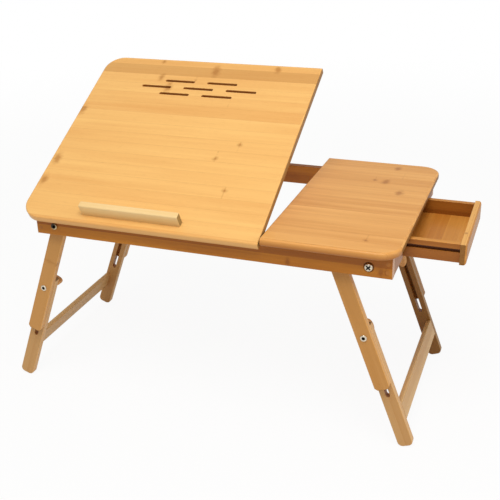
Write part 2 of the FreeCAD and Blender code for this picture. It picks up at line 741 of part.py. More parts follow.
def prop_arm(x0, x1):
    """Arm with round ends, bored for its pin and for the foot bar."""
    half = prop_arm_thickness / 2
    arm = box(x0, x1, prop_pivot_y, prop_foot_y, prop_pivot_z - half, prop_pivot_z + half)
    for y, radius in ((prop_pivot_y, prop_pin_radius + prop_pin_gap), (prop_foot_y, prop_bar_radius)):
        arm = arm.fuse(rod(half, Vec(x0, y, prop_pivot_z), X_DIR, x1 - x0))
        arm = arm.cut(rod(radius, Vec(x0, y, prop_pivot_z), X_DIR, x1 - x0))
    return propped(arm.removeSplitter())


def prop_cross_rail():
    """Flat rail that joins the arms."""
    half = prop_arm_thickness / 2 - 0.5
    y0 = prop_pivot_y + cross_rail_reach
    rail = box(arm_ranges[0][1], arm_ranges[1][0], y0, y0 + cross_rail_width,
               prop_pivot_z - half, prop_pivot_z + half)
    return propped(eased(rail, X_DIR))


def prop_foot_bar():
    """Round bar through the arms whose ends lie in the racks."""
    x0 = arm_ranges[0][0] - prop_bar_overhang
    x1 = arm_ranges[1][1] + prop_bar_overhang
    return propped(rod(prop_bar_radius, Vec(x0, prop_foot_y, prop_pivot_z), X_DIR, x1 - x0))


def under_foot_bar(tilt_degrees, x):
    """Point just clear of the foot bar's underside, square to the bar's path."""
    y, z = foot_bar_place(tilt_degrees)
    ahead_y, ahead_z = foot_bar_place(tilt_degrees + 0.01)
    path = Vec(0, ahead_y - y, ahead_z - z)
    path.normalize()
    return Vec(x, y, z) + Vec(0, -path.z, path.y) * (prop_bar_radius + rack_clearance)


rack_top = rail_top - rack_drop
rack_end_bottom = half_leg - leg_pivot_drop + rack_leg_gap


def rack_ends(x0, top):
    """Thin strip over the folded legs whose two ends are let into the rails."""
    y0 = rail_inner - rack_housing
    return box(x0, x0 + rack_width, y0, stand_depth - y0, rack_end_bottom, top)


def prop_rack(x0):
    """Notched board from rail to rail, thin over the folded legs: its hollow follows the foot bar's
    path from below."""
    rack = box(x0, x0 + rack_width, divider_y, stand_depth - divider_y, rack_top - rack_height, rack_top)
    rack = rack.fuse(rack_ends(x0, rack_top)).removeSplitter()
    highest_tilt = tilt_angle + rack_notch_steps[-1]
    tilts = [highest_tilt * step / 8 for step in range(9)]
    under_path = [under_foot_bar(tilt, x0) for tilt in tilts]
    floor_curve = Part.BSplineCurve()
    floor_curve.interpolate(under_path)
    rear = under_path[0] + Vec(0, rack_hollow_margin, 0)
    fore = under_path[-1] - Vec(0, rack_hollow_margin, 0)
    lift = Z_DIR * rack_height
    outline = Part.Wire([Part.makeLine(rear, under_path[0]), floor_curve.toShape(),
                         Part.makeLine(under_path[-1], fore), Part.makeLine(fore, fore + lift),
                         Part.makeLine(fore + lift, rear + lift), Part.makeLine(rear + lift, rear)])
    hollow = Part.Face(outline).extrude(X_DIR * rack_width)
    notches = []
    for step in rack_notch_steps:
        y, z = foot_bar_place(tilt_angle + step)
        notches.append(rod(prop_bar_radius + rack_clearance, Vec(x0, y, z - rack_notch_depth), X_DIR,
                           rack_width))
    return rack.cut([hollow] + notches)


rack_inset = 2.0
rack_left_x = arm_ranges[0][0] - rack_inset - rack_width
rack_right_x = arm_ranges[1][1] + rack_inset


# ---- Stop ledge ----
def stop_ledge():
    """Bar along the front of the tilting top, pegged so that it lifts off."""
    bar = box(ledge_left, ledge_left + ledge_length, ledge_setback, ledge_setback + ledge_thickness,
              0, ledge_height)
    bar = round_edges(bar, ledge_round, lambda edge: edge.CenterOfMass.z > 1)
    holes = [rod(peg_radius, Vec(x, ledge_peg_y, 0), Z_DIR, peg_depth) for x in ledge_peg_places]
    return raised(bar.cut(holes))


def ledge_pegs():
    """Wooden pegs that locate the ledge."""
    return raised(Part.makeCompound([rod(peg_radius, Vec(x, ledge_peg_y, -peg_depth), Z_DIR, 2 * peg_depth)
                                     for x in ledge_peg_places]))


# ---- All pieces by name ----
parts = {
    "fixed_top": fixed_top(),
    "front_rail": hinged_front_rail(),
    "back_rail": mirrored_back(front_rail()),
    "left_end_board": end_board(frame_x0, rail_inner, stand_depth - rail_inner),
    "right_end_board_front": end_board(end_board_x, rail_inner, opening_front),
    "right_end_board_back": end_board(end_board_x, opening_back, stand_depth - rail_inner),
    "divider_board": eased(box(divider_x, divider_x + board_thickness, divider_y,
                               stand_depth - divider_y, rail_bottom, rail_top), Y_DIR),
    "drawer_guide_front": drawer_guide(guide_front_y),
    "drawer_guide_back": drawer_guide(guide_back_y),
    "drawer_runners": drawer_runners(),
    "stop_block_front": stop_block(),
    "stop_block_back": mirrored_back(stop_block()),
    "prop_rack_left": prop_rack(rack_left_x),
    "prop_rack_right": prop_rack(rack_right_x),
    "hinge_frame_leaves": Part.makeCompound([hinge_leaf(x, True) for x in hinge_middles]),
    "hinge_frame_screws": hinge_screws(True),
    "hinge_pins": Part.makeCompound([rod(hinge_pin_radius, Vec(x - hinge_length / 2, hinge_y, hinge_z),
                                         X_DIR, hinge_length) for x in hinge_middles]),
    "left_pivot_bolts": left_pivot_bolts(),
    "left_pivot_nuts": left_pivot_nuts(),
    "right_pivot_bolts": right_pivot_bolts(),
    "right_pivot_inserts": right_pivot_inserts(),
    "pivot_washers": pivot_washers(),
    "stop_block_screws": block_screws(),
    "frame_dowels": frame_dowels(),
    "tilting_top": tilting_top(),
    "hinge_top_leaves": raised(Part.makeCompound([hinge_leaf(x, False) for x in hinge_middles])),
    "hinge_top_screws": raised(hinge_screws(False)),
    "prop_bracket_left": prop_bracket(*bracket_ranges()[0]),
    "prop_bracket_right": prop_bracket(*bracket_ranges()[1]),
    "prop_pivot_pins": prop_pins(),
    "prop_arm_left": prop_arm(*arm_ranges[0]),
    "prop_arm_right": prop_arm(*arm_ranges[1]),
    "prop_cross_rail": prop_cross_rail(),
    "prop_foot_bar": prop_foot_bar(),
    "stop_ledge": stop_ledge(),
    "ledge_pegs": ledge_pegs(),
    "drawer_front": drawer_front(),
    "drawer_side_front": drawer_side(side_y0, side_y0),
    "drawer_side_back": drawer_side(side_y1 - drawer_side_thickness, side_y1),
    "drawer_back": drawer_back(),
    "drawer_bottom": drawer_bottom_panel(),
}
for side_name, side in (("left", -1), ("right", 1)):
    parts[side_name + "_upper_leg_front"] = upper_leg(side)
    parts[side_name + "_upper_leg_back"] = mirrored_back(upper_leg(side))
    parts[side_name + "_lower_leg_front"] = lower_leg(side)
    parts[side_name + "_lower_leg_back"] = mirrored_back(lower_leg(side))
    parts[side_name + "_crossbar"] = crossbar(side)
    parts[side_name + "_clamp_bolts"] = clamp_bolts(side)
    parts[side_name + "_knob_front"] = knob(side, knob_turns[side_name + "_front"])
    parts[side_name + "_knob_back"] = mirrored_back(knob(side, knob_turns[side_name + "_back"]))

# ---- Origin: on the floor, under the middle of the whole stand ----
whole = Part.makeCompound(list(parts.values())).optimalBoundingBox(False)
to_origin = Vec(-(whole.XMin + whole.XMax) / 2, -(whole.YMin + whole.YMax) / 2, -whole.ZMin)

os.makedirs("parts", exist_ok=True)
for name, shape in parts.items():
    moved = shape.copy()
    moved.translate(to_origin)
    moved.exportStep("parts/" + name + ".step")
print(len(parts), "pieces, origin moved by", [round(v, 3) for v in to_origin],
      "size", [round(v, 1) for v in (whole.XLength, whole.YLength, whole.ZLength)])
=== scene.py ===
import bpy
import math
from mathutils import Euler, Matrix, Vector


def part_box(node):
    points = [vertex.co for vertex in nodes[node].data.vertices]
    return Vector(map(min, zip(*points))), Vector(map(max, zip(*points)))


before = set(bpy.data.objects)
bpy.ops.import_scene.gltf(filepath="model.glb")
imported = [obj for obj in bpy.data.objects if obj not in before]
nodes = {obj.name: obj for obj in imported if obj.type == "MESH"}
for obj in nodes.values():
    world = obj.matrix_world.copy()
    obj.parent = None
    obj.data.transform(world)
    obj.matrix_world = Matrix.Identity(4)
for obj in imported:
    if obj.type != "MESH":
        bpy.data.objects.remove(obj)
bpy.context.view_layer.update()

# ---- Fixed top ----
# The right-hand top: a board pressed from bamboo strips that run from left to right, with a routed
# edge and a clear satin varnish. It is glued and dowelled to the rails.

MM = 0.001
STAND_WIDTH = 550 * MM
FAR = 9.0                      # past the end of any board, in metres, or of any mark, in its radii
TOP_STRIP = 25 * MM
TOP_PLY = 5.5 * MM
PLY_START = 0.03               # keeps a ply's edge just off the plane that it starts from, in plies

# waves per metre along a board, across it and through it
BLOT_WAVES = (110, 160, 160)
DRIFT_WAVES = (5, 48, 48)
FIBRE_WAVES = (14, 1300, 1300)
VESSEL_WAVES = (70, 2100, 2100)
STREAK_WAVES = (3, 260, 260)
BAND_WAVES = (1.6, 90, 90)
PORE_WAVES = (1500, 1500, 1500)

# the lot of a strip: steps from strip to strip, ply to ply and board to board, and the first value
STRIP_STEP, PLY_STEP, BOARD_STEP, LOT_START = 7.13, 31.7, 5.19, 2.3
SLIP_ALONG, SLIP_ACROSS = 3.0, 0.7    # how far a strip's noise may start from its neighbour's, metres

# marks where the culm had its joints; two numbers are where a fade starts and ends
MARK_ALONG, MARK_ACROSS = 5.5 * MM, 5 * MM    # radii of a chance mark
MARK_SHIFT = 5.0                      # most that a strip's marks are shifted, in gaps between marks
MARKED_STRIPS = (0.45, 0.75)          # habit from which a strip has faint marks, and full ones
KNOT_ALONG, KNOT_ACROSS = 3.2, 1.8    # radii in the width of a knot
KNOT_BODY = 0.2                       # added to a knot all round, in radii
RAGGED = 1.2                          # how far its edge wanders, in radii
STAIN_FADE = (0.20, 1.20)
CORE_FADE = (0.05, 0.60)
RING_FADE = (0.3 * MM, 1.6 * MM)
RING_GAPS = (0.35, 0.6)
PARTED = 3 * MM                       # how far fibres part round a mark

GLUE_LINE = 0.25 * MM
END_FADE = (0.5 * MM, 0.3 * MM)       # from a cut end
VESSEL_FADE = (0.60, 0.74)
PORE_FADE = (0.50, 0.66)

# how strongly each colour covers the one before it
BAND_COVER = 0.36
HIGHLIGHT_COVER = 0.75
VESSEL_COVER = 0.18
STAIN_COVER, CORE_COVER, RING_COVER = 0.38, 0.22, 0.22
GLUE_COVER = 0.4
PORE_COVER = 0.6
END_COVER = 0.85
HOLLOW_SHADE_COVER = 0.85

VARNISH_ROUGHNESS = 0.42
FIBRE_ROUGHNESS, CUT_ROUGHNESS = 0.16, 0.25   # added by fibres and by cut ends
RELIEF_STRENGTH, RELIEF_HEIGHT = 0.2, 0.25 * MM

# what is kept of red, green and blue; over 1 is paler
BROWN_KEEP = (0.50, 0.35, 0.12)
HIGHLIGHT_KEEP = (1.20, 1.36, 1.60)
CUT_KEEP = (0.44, 0.46, 0.44)
PORE_KEEP = (0.35, 0.35, 0.35)


class Wire:
    """One shader socket. Arithmetic on wires adds Math nodes; node() adds any other node."""

    def __init__(self, tree, socket=None):
        self.tree = tree
        self.socket = socket

    def node(self, kind, settings, values, out=0):
        made = self.tree.nodes.new("ShaderNode" + kind)
        for name, setting in settings.items():
            setattr(made, name, setting)
        for name, value in values.items():
            if isinstance(value, Wire):
                self.tree.links.new(value.socket, made.inputs[name])
            else:
                made.inputs[name].default_value = value
        return Wire(self.tree, made.outputs[out] if len(made.outputs) else None)

    def math(self, operation, *values):
        return self.node("Math", {"operation": operation}, dict(enumerate(values)))

    def __add__(self, other):
        return self.math("ADD", self, other)

    def __radd__(self, other):
        return self.math("ADD", other, self)

    def __sub__(self, other):
        return self.math("SUBTRACT", self, other)

    def __rsub__(self, other):
        return self.math("SUBTRACT", other, self)

    def __mul__(self, other):
        return self.math("MULTIPLY", self, other)

    def __rmul__(self, other):
        return self.math("MULTIPLY", other, self)

    def __truediv__(self, other):
        return self.math("DIVIDE", self, other)

    def __rtruediv__(self, other):
        return self.math("DIVIDE", other, self)

    def __gt__(self, other):
        return self.math("GREATER_THAN", self, other)

    def __lt__(self, other):
        return self.math("LESS_THAN", self, other)


def bare_nodes(owner):
    """Clears the nodes of a material or of the world, and gives a wire to start from."""
    owner.use_nodes = True
    owner.node_tree.nodes.clear()
    return Wire(owner.node_tree)


def paint(red, green, blue):
    """A colour written 0 to 255, as the shader wants it."""
    return tuple((c / 255 / 12.92 if c <= 10 else ((c / 255 + 0.055) / 1.055) ** 2.4)
                 for c in (red, green, blue)) + (1.0,)


def toned(colour, keep):
    """A colour with its red, green and blue each times a number."""
    return tuple(c * k for c, k in zip(colour[:3], keep)) + (1.0,)


def span(wire, low, high):
    """0 where the wire is below low and 1 above high, smooth between."""
    return wire.node("MapRange", {"interpolation_type": "SMOOTHSTEP"},
                     {"Value": wire, "From Min": low, "From Max": high})


def blended(wire, factor, under, over):
    """Two colours through a Mix node."""
    return wire.node("Mix", {"data_type": "RGBA"}, {0: factor, 6: under, 7: over}, 2)


def vector(wire, operation, first, second=(0, 0, 0), out=0):
    """Sums on places, through a Vector Math node."""
    return wire.node("VectorMath", {"operation": operation}, {0: first, 1: second}, out)


def parts(place):
    """The x, y and z of a place."""
    return [place.node("SeparateXYZ", {}, {"Vector": place}, axis) for axis in "XYZ"]


def inside(place, low, high):
    """1 within the box between two corners and 0 outside it."""
    centre = [(a + b) / 2 for a, b in zip(low, high)]
    half_size = [(b - a) / 2 for a, b in zip(low, high)]
    off_centre = vector(place, "ABSOLUTE", vector(place, "SUBTRACT", place, centre))
    x, y, z = parts(vector(place, "SUBTRACT", off_centre, half_size))
    return place.math("MAXIMUM", place.math("MAXIMUM", x, y), z) < 0.0


def noise(place, stretch, detail, rough=0.5):
    """Noise that is drawn out along the grain: stretch is waves per metre along, across and deep."""
    drawn = vector(place, "MULTIPLY", place, stretch)
    return place.node("TexNoise", {}, {"Vector": drawn, "Scale": 1.0, "Detail": detail, "Roughness": rough})


def on_board(start, centre, turn):
    """Object coordinates moved and turned to a board's own axes."""
    turned = Euler([math.radians(angle) for angle in turn])
    shift = -(turned.to_matrix() @ Vector(centre))
    place = start.node("TexCoord", {}, {}, "Object")
    return start.node("Mapping", {}, {"Vector": place, "Location": shift, "Rotation": turned})


def strip_lots(strips, plies, seed):
    """Three random numbers for the strip and ply that a point is in: tone, slip and habit."""
    lot = strips.math("FLOOR", strips) * STRIP_STEP + strips.math("FLOOR", plies) * PLY_STEP
    lot = lot + (seed * BOARD_STEP + LOT_START)
    chance = lot.node("TexWhiteNoise", {"noise_dimensions": "1D"}, {"W": lot}, "Color")
    return [lot.node("SeparateColor", {}, {"Color": chance}, channel)
            for channel in ("Red", "Green", "Blue")]


def culm_marks(place, own, within, slip, habit, strip, joint_gap, knots):
    """A stain, its dark core and a thin ring across the strip, where the culm had its joints. The
    chance ones are joint_gap apart in some strips; knots are given by their x, y and width."""
    run = parts(own)[0] / joint_gap + habit * MARK_SHIFT
    reach = (place.math("FRACT", run) - 0.5) * joint_gap
    beside = within + (slip - 0.5) * (strip * 0.5)
    present = span(habit, *MARKED_STRIPS)
    mark = place.node("CombineXYZ", {}, {"X": reach / MARK_ALONG, "Y": beside / MARK_ACROSS})
    near = vector(place, "LENGTH", mark, out="Value") + (1 - present) * FAR
    for knot_x, knot_y, width in knots:
        gap = vector(place, "SUBTRACT", place, (knot_x, knot_y, 0))
        gap = vector(place, "MULTIPLY", gap, (KNOT_ALONG / width, KNOT_ACROSS / width, 0))
        near = place.math("MINIMUM", near, vector(place, "LENGTH", gap, out="Value") - KNOT_BODY)
    blot = noise(own, BLOT_WAVES, 2.0)
    ragged = near + (blot - 0.5) * RAGGED
    stain = 1 - span(ragged, *STAIN_FADE)
    core = 1 - span(ragged, *CORE_FADE)
    ring = (1 - span(place.math("ABSOLUTE", reach), *RING_FADE)) * present * span(blot, *RING_GAPS)
    return stain, core, ring


def fibre_grain(own, stain):
    """Slow drifts, bands and streaks of tone along a strip, its fibres, and the short dark vessels.
    All of them part round the marks."""
    x, y, z = parts(own)
    grown = own.node("CombineXYZ", {}, {"X": x, "Y": y + stain * PARTED, "Z": z})
    drift = noise(grown, DRIFT_WAVES, 3.0)
    bands = noise(grown, BAND_WAVES, 2.0)
    streaks = noise(grown, STREAK_WAVES, 2.0)
    fibres = noise(grown, FIBRE_WAVES, 3.0, 0.6)
    vessels = span(noise(grown, VESSEL_WAVES, 1.0), *VESSEL_FADE)
    return drift, bands, streaks, fibres, vessels


# painted shade for the walls of slots and grooves
HOLLOW_SHADE = paint(84, 38, 13)


def pressed_bamboo(name, light, dark, centre, turn=(0, 0, 0), strip=TOP_STRIP, ply=TOP_PLY,
                   first=0.0, half_length=1.0, seed=0.0, contrast=1.0, joint_gap=0.38, joints=0.8,
                   gloss=0.12, band=(FAR, FAR), knots=(), hollows=(), under=None, crown=FAR,
                   ply_at=0.0, cut=None, hollow_shade=HOLLOW_SHADE):
    """Strips of bamboo pressed together. The fibres run along the board's own x; strip is the width
    of a strip across (y) and ply its thickness (z). centre and turn put the board's axes in place,
    and glue lines lie at y = first and z = ply_at. The strips in band are of darker bamboo. under is
    the height below which the board is painted darker, and by how much: painted shade. Above crown it
    is painted paler: a painted highlight. joints is how strongly the culm's marks show, and knots are
    marks at x, y with a width. hollows are boxes round the walls of a slot or groove, which are painted
    in the darker colour given last: painted shade. cut is the colour of the cut ends, which lie
    half_length from the middle."""
    material = bpy.data.materials.new(name)
    start = bare_nodes(material)
    place = on_board(start, centre, turn)
    along, across, deep = parts(place)

    # each strip has its own tone and marks, and its own place in the noise
    strips = (across - first) / strip
    tone, slip, habit = strip_lots(strips, (deep - ply_at) / ply + PLY_START, seed)
    within = (start.math("FRACT", strips) - 0.5) * strip
    own = start.node("CombineXYZ", {}, {"X": along + slip * SLIP_ALONG,
                                        "Y": across + slip * SLIP_ACROSS, "Z": deep})
    stain, core, ring = culm_marks(place, own, within, slip, habit, strip, joint_gap, knots)
    drift, bands, streaks, fibres, vessels = fibre_grain(own, stain)

    # glue lines between strips, and the cut ends with their open pores
    glue = span(start.math("ABSOLUTE", within) / strip, 0.5 - GLUE_LINE / strip, 0.5) * GLUE_COVER
    end = span(start.math("ABSOLUTE", along), *(half_length - fade for fade in END_FADE))
    pores = span(noise(place, PORE_WAVES, 1.0), *PORE_FADE)

    # from light to dark by the strip's own tone and by each kind of grain, then each darker mark
    depth = (tone - 0.5) * 0.5
    for grain, weight in ((drift, 1.1), (bands, 0.9), (streaks, 0.4), (fibres, 0.35)):
        depth = depth + (grain - 0.5) * weight
    colour = blended(start, span(depth * contrast + 0.5, 0.0, 1.0), light, dark)
    brown = toned(dark, BROWN_KEEP)
    # darker strips in band, then painted shade below the height in under
    darker = (across > band[0]) * (across < band[1]) * BAND_COVER
    if under:
        height, amount = under
        darker = darker + (1 - span(deep, height * 0.2, height)) * amount
    colour = blended(start, darker, colour, brown)
    # a painted highlight: paler above crown
    colour = blended(start, (deep > crown) * HIGHLIGHT_COVER, colour, toned(light, HIGHLIGHT_KEEP))
    colour = blended(start, vessels * VESSEL_COVER, colour, brown)
    marks = (stain * STAIN_COVER + core * CORE_COVER + ring * RING_COVER) * joints
    colour = blended(start, marks, colour, brown)
    colour = blended(start, glue, colour, brown)
    cut = cut or toned(dark, CUT_KEEP)
    cut_colour = blended(start, pores * PORE_COVER, cut, toned(cut, PORE_KEEP))
    colour = blended(start, end * END_COVER, colour, cut_colour)
    # painted shade on the walls of slots and grooves
    for low, high in hollows:
        colour = blended(start, inside(place, low, high) * HOLLOW_SHADE_COVER, colour, hollow_shade)

    relief = fibres * 0.5 + streaks * 0.2 - vessels * 0.5 - glue * 0.7 - core * 0.3
    bump = start.node("Bump", {}, {"Strength": RELIEF_STRENGTH, "Distance": RELIEF_HEIGHT,
                                   "Height": relief}, "Normal")
    shader = start.node("BsdfPrincipled", {}, {
        "Base Color": colour,
        "Roughness": VARNISH_ROUGHNESS + (fibres - 0.5) * FIBRE_ROUGHNESS + end * CUT_ROUGHNESS,
        "Normal": bump,
        "Coat Weight": gloss,
        "Coat Roughness": 0.18,
        "Specular IOR Level": 0.25,
    })
    start.node("OutputMaterial", {}, {"Surface": shader})
    return material


def finish_node(name, material):
    """Gives a CAD node its finish."""
    slots = nodes[name].data.materials
    for number in range(len(slots)):
        slots[number] = material


def middle(name):
    """The middle of a CAD node's box."""
    low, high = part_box(name)
    return (low + high) / 2


def half(name, axis):
    """Half a CAD node's size along x, y or z."""
    low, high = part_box(name)
    return (getattr(high, axis) - getattr(low, axis)) / 2


TOP_WARM = paint(246, 184, 104)
TOP_DEEP = paint(212, 144, 68)
TOP_GLOSS = 0.2
TOP_GLUE_LINE = 4 * MM                # the first one, from the front edge
TOP_PAINTED_SHADE = (10.6 * MM, 0.75)         # painted shade: darker below the first, by the second
TOP_KNOTS = ((0.050, 0.2145, 0.020), (0.021, 0.2555, 0.021), (0.027, 0.320, 0.019))
low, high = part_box("fixed_top")
origin = Vector((high.x - STAND_WIDTH, low.y, high.z))    # front left corner of the lowered tops
finish_node("fixed_top", pressed_bamboo(
    "fixed_top_bamboo", TOP_WARM, TOP_DEEP,
    (middle("fixed_top").x, low.y + TOP_GLUE_LINE, low.z), half_length=half("fixed_top", "x"),
    seed=3.0, contrast=0.62, gloss=TOP_GLOSS, under=TOP_PAINTED_SHADE, joints=1.0, knots=TOP_KNOTS))

# ---- Tilting top ----
# The left-hand top is the same pressed board with seven air slots, eased edges and paler strips.
# It lies on the raised prop, so its grain is set out in the board's own turned axes.

TILT = 28.25
HINGE = origin + Vector((0, 12, -11)) * MM
PANEL_PALE = paint(246, 195, 116)
PANEL_WARM = paint(224, 160, 86)
# painted shade for the walls of the air slots
PANEL_HOLLOW_SHADE = paint(160, 84, 8)
PANEL_HALF = 182.75 * MM
PANEL_STRIP = 22 * MM
PANEL_GLUE_LINE = 300.5 * MM          # behind the hinge, where the darker strip starts
# painted shade: darker below the first, by the second
PANEL_PAINTED_SHADE = (7 * MM, 0.3)
PANEL_KNOTS = ((0.014, 0.315, 0.024), (0.114, 0.328, 0.018), (-0.073, 0.294, 0.018),
               (-0.053, 0.272, 0.022), (-0.173, 0.102, 0.024), (-0.175, 0.059, 0.020),
               (-0.178, 0.209, 0.022))
AIR_SLOTS = ((-0.106, 0.250, 0.0012), (0.106, 0.300, 0.0098))     # round their walls, clear of both faces
finish_node("tilting_top", pressed_bamboo(
    "tilting_top_bamboo", PANEL_PALE, PANEL_WARM, (origin.x + PANEL_HALF, HINGE.y, HINGE.z),
    turn=(-TILT, 0, 0), strip=PANEL_STRIP, first=PANEL_GLUE_LINE, half_length=PANEL_HALF, seed=1.0,
    contrast=0.5, gloss=TOP_GLOSS, band=(PANEL_GLUE_LINE, PANEL_GLUE_LINE + PANEL_STRIP),
    under=PANEL_PAINTED_SHADE, joints=1.0, knots=PANEL_KNOTS, hollows=(AIR_SLOTS,), hollow_shade=PANEL_HOLLOW_SHADE))

# ---- Stop ledge and its pegs ----
# A bar of paler wood that keeps the laptop from sliding off; two turned pegs under it drop into
# holes in the tilting top.

LEDGE_PALE = paint(246, 216, 160)
LEDGE_DEEP = paint(226, 180, 106)
LEDGE_MIDDLE = 174.5 * MM             # from the left end of the tops
LEDGE_HALF = 76 * MM
# painted shade: darker below the first, by the second
LEDGE_PAINTED_SHADE = (27 * MM, 0.36)
ONE_PIECE = 40 * MM                   # a strip so wide that no glue line crosses the wood
finish_node("stop_ledge", pressed_bamboo(
    "stop_ledge_wood", LEDGE_PALE, LEDGE_DEEP, (origin.x + LEDGE_MIDDLE, HINGE.y, HINGE.z),
    turn=(-TILT, 0, 0), strip=ONE_PIECE, ply=60 * MM, half_length=LEDGE_HALF, seed=5.0,
    contrast=0.5, joints=0.15, under=LEDGE_PAINTED_SHADE))
PEG_WARM = paint(226, 178, 112)
PEG_DEEP = paint(188, 134, 72)
finish_node("ledge_pegs", pressed_bamboo(
    "ledge_peg_wood", PEG_WARM, PEG_DEEP, (origin.x, HINGE.y, HINGE.z), turn=(-TILT, 90, 0),
    strip=ONE_PIECE, ply=ONE_PIECE, seed=6.0, contrast=0.6, joints=0.0))

# ---- Rails and end boards ----
# The frame under the tops: two long rails with end boards between them, all from two-ply strips.
# The outer ends of the rails show their cut fibres, in a pale colour that is partly a painted highlight.

RAIL_WARM = paint(192, 121, 28)
RAIL_DEEP = paint(158, 88, 12)
# the cut ends' colour, paled by a painted highlight
RAIL_CUT_AND_HIGHLIGHT = paint(226, 186, 158)
RAIL_STRIP = 15 * MM
RAIL_PLY = 6 * MM
RAIL_KNOTS = ((0.247, 0.007, 0.014), (0.254, 0.006, 0.012), (0.122, 0.008, 0.012))
CROSSWISE = (0, 0, -90)               # turn of a board whose fibres run from front to back
for number, rail in enumerate(("front_rail", "back_rail")):
    finish_node(rail, pressed_bamboo(
        rail + "_bamboo", RAIL_WARM, RAIL_DEEP, middle(rail), turn=(90, 0, 0), strip=RAIL_STRIP,
        ply=RAIL_PLY, half_length=half(rail, "x"), seed=11.0 + number, joint_gap=0.31,
        knots=RAIL_KNOTS, cut=RAIL_CUT_AND_HIGHLIGHT))
for number, board in enumerate(("left_end_board", "right_end_board_front", "right_end_board_back")):
    finish_node(board, pressed_bamboo(
        board + "_bamboo", RAIL_WARM, RAIL_DEEP, middle(board), turn=CROSSWISE, strip=RAIL_PLY,
        ply=RAIL_STRIP, half_length=half(board, "y"), seed=15.0 + number))

# ---- Boards inside the frame ----
# The divider, the prop's racks and brackets, the drawer's guides and runners, and the blocks that
# the right legs lean on. They are out of sight in use and only sanded, so they are duller.

INNER_WARM = paint(208, 144, 72)
INNER_DEEP = paint(172, 108, 44)
INNER_STRIP = 12 * MM
INNER_PLY = 10 * MM
for number, board in enumerate(("drawer_guide_front", "drawer_guide_back", "drawer_runners",
                                "prop_rack_left", "prop_rack_right", "stop_block_front",
                                "stop_block_back", "divider_board", "prop_bracket_left",
                                "prop_bracket_right")):
    crosswise = half(board, "y") > half(board, "x")
    finish_node(board, pressed_bamboo(
        board + "_bamboo", INNER_WARM, INNER_DEEP, middle(board),
        turn=CROSSWISE if crosswise else (0, 0, 0), strip=INNER_STRIP, ply=INNER_PLY,
        half_length=half(board, "y" if crosswise else "x"), seed=20.0 + number, gloss=0.05))

# ---- Prop ----
# Two planed arms joined by a flat cross rail and a round foot bar. They hang on pins in the brackets
# under the tilting top, and the foot bar lies over the notches of the racks.

ARM_WIDTH = 12 * MM
ARM_THICKNESS = 9 * MM
for number, arm in enumerate(("prop_arm_left", "prop_arm_right")):
    rise, run = (2 * half(arm, axis) - ARM_WIDTH for axis in "zy")
    finish_node(arm, pressed_bamboo(
        arm + "_bamboo", INNER_WARM, INNER_DEEP, middle(arm),
        turn=(math.degrees(math.atan2(rise, run)), 0, -90), strip=ARM_WIDTH, ply=ARM_THICKNESS,
        seed=35.0 + number, joints=0.5, gloss=0.1))
for number, bar in enumerate(("prop_cross_rail", "prop_foot_bar")):
    finish_node(bar, pressed_bamboo(
        bar + "_bamboo", INNER_WARM, INNER_DEEP, middle(bar), strip=ARM_WIDTH, ply=ARM_WIDTH,
        seed=37.0 + number, joints=0.3, gloss=0.1))

# ---- Drawer ----
# An open box of thin boards with a plain front board that stands out past its sides; the sides are
# grooved for the runners and hold the bottom panel.

FRONT_WARM = paint(220, 157, 78)
FRONT_DEEP = paint(192, 126, 51)
DRAWER_WARM = paint(220, 152, 66)
DRAWER_DEEP = paint(190, 118, 40)
SIDE_WARM = paint(200, 130, 50)
SIDE_DEEP = paint(162, 96, 26)
HIGHLIGHT_RIM = 0.5 * MM                   # the upper edge of a board, painted paler: a painted highlight
# a box round the walls of each side's groove, which get painted shade
GROOVE_LEVELS = (0.7 * MM, 6.3 * MM)
GROOVE_LAYERS = ((-3.2 * MM, 0.2 * MM), (-0.2 * MM, 3.2 * MM))    # front side, back side
GROOVE_REACH = 0.2                    # past both ends of a side, metres


def browner(colour, keep):
    """The colour made darker, and most of all in its blue."""
    return toned(colour, (keep, keep ** 1.3, keep ** 2.2))


for number, (board, warm, deep, strip) in enumerate((
        ("drawer_front", FRONT_WARM, FRONT_DEEP, 4.5 * MM),
        ("drawer_back", DRAWER_WARM, DRAWER_DEEP, 4.5 * MM),
        ("drawer_bottom", DRAWER_WARM, DRAWER_DEEP, 20 * MM))):
    finish_node(board, pressed_bamboo(
        board + "_bamboo", warm, deep, middle(board), turn=CROSSWISE, strip=strip, ply=14.5 * MM,
        half_length=half(board, "y"), seed=41.0 + number, joint_gap=0.26,
        crown=FAR if board == "drawer_bottom" else half(board, "z") - HIGHLIGHT_RIM))
# The back side is painted darker than the front one: painted shade inside the drawer.
for number, (board, keep) in enumerate((("drawer_side_front", 1.0), ("drawer_side_back", 0.8))):
    near_layer, far_layer = GROOVE_LAYERS[number]
    groove = ((-GROOVE_REACH, near_layer, GROOVE_LEVELS[0]), (GROOVE_REACH, far_layer, GROOVE_LEVELS[1]))
    finish_node(board, pressed_bamboo(
        board + "_bamboo", browner(SIDE_WARM, keep), browner(SIDE_DEEP, keep), middle(board),
        strip=4 * MM, ply=14 * MM, half_length=half(board, "x"), seed=45.0 + number,
        joint_gap=0.22, crown=half(board, "z") - HIGHLIGHT_RIM, hollows=(groove,)))

# ---- Legs ----
# Each leg is two layers: an upper leg bolted to the rail and a slotted lower leg clamped to its inner
# side, with a crossbar tenoned between each pair of lower legs. The right back leg is coloured darker.

